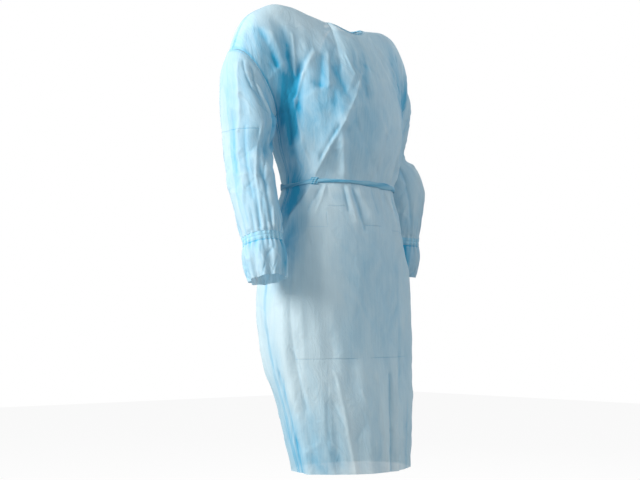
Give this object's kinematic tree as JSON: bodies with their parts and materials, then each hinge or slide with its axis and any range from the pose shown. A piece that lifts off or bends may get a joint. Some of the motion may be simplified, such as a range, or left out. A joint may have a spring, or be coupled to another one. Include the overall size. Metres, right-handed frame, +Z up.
{
  "type": "isolation gown",
  "caption": "Disposable long-sleeved isolation gown in its worn, hollow form: elastic wrists with frills, bound neck, open lapped back, ties at the neck and waist.",
  "frame": {"origin": "over the middle of the neck, at the height where the shoulders hold the gown up", "axes": "+Z up along the gown's length, the wearer faces -Y, +X is the wearer's left"},
  "size_m": [0.6689, 0.3517, 1.1587],
  "materials": {
    "front_panel": "thin see-through spunbonded nonwoven, soft dull sheen",
    "back_panel_right": "thin see-through spunbonded nonwoven, soft dull sheen",
    "back_panel_left": "thin see-through spunbonded nonwoven, soft dull sheen",
    "sleeve_right": "the same thin nonwoven, less stretched",
    "sleeve_left": "the same thin nonwoven, less stretched",
    "wrist_frill_right": "the same thin nonwoven, less stretched",
    "wrist_frill_left": "the same thin nonwoven, less stretched",
    "wrist_band_right": "the same nonwoven folded in several layers",
    "wrist_band_left": "the same nonwoven folded in several layers",
    "neck_binding": "the same nonwoven folded in several layers",
    "neck_tie_knot": "the same nonwoven folded in several layers",
    "neck_tie_right": "the same nonwoven folded in several layers",
    "neck_tie_left": "the same nonwoven folded in several layers",
    "waist_tie": "the same nonwoven folded in several layers",
    "waist_tie_tack": "the same nonwoven folded in several layers",
    "waist_tie_knot": "the same nonwoven folded in several layers",
    "waist_tie_end_right": "the same nonwoven folded in several layers",
    "waist_tie_end_left": "the same nonwoven folded in several layers"
  },
  "bodies": {
    "root": {"front_panel": "front_panel", "back_panel_right": "back_panel_right", "back_panel_left": "back_panel_left", "sleeve_right": "sleeve_right", "sleeve_left": "sleeve_left", "wrist_frill_right": "wrist_frill_right", "wrist_frill_left": "wrist_frill_left", "wrist_band_right": "wrist_band_right", "wrist_band_left": "wrist_band_left", "neck_binding": "neck_binding", "neck_tie_knot": "neck_tie_knot", "neck_tie_right": "neck_tie_right", "neck_tie_left": "neck_tie_left", "waist_tie": "waist_tie", "waist_tie_tack": "waist_tie_tack", "waist_tie_knot": "waist_tie_knot", "waist_tie_end_right": "waist_tie_end_right", "waist_tie_end_left": "waist_tie_end_left"}
  },
  "joints": []
}
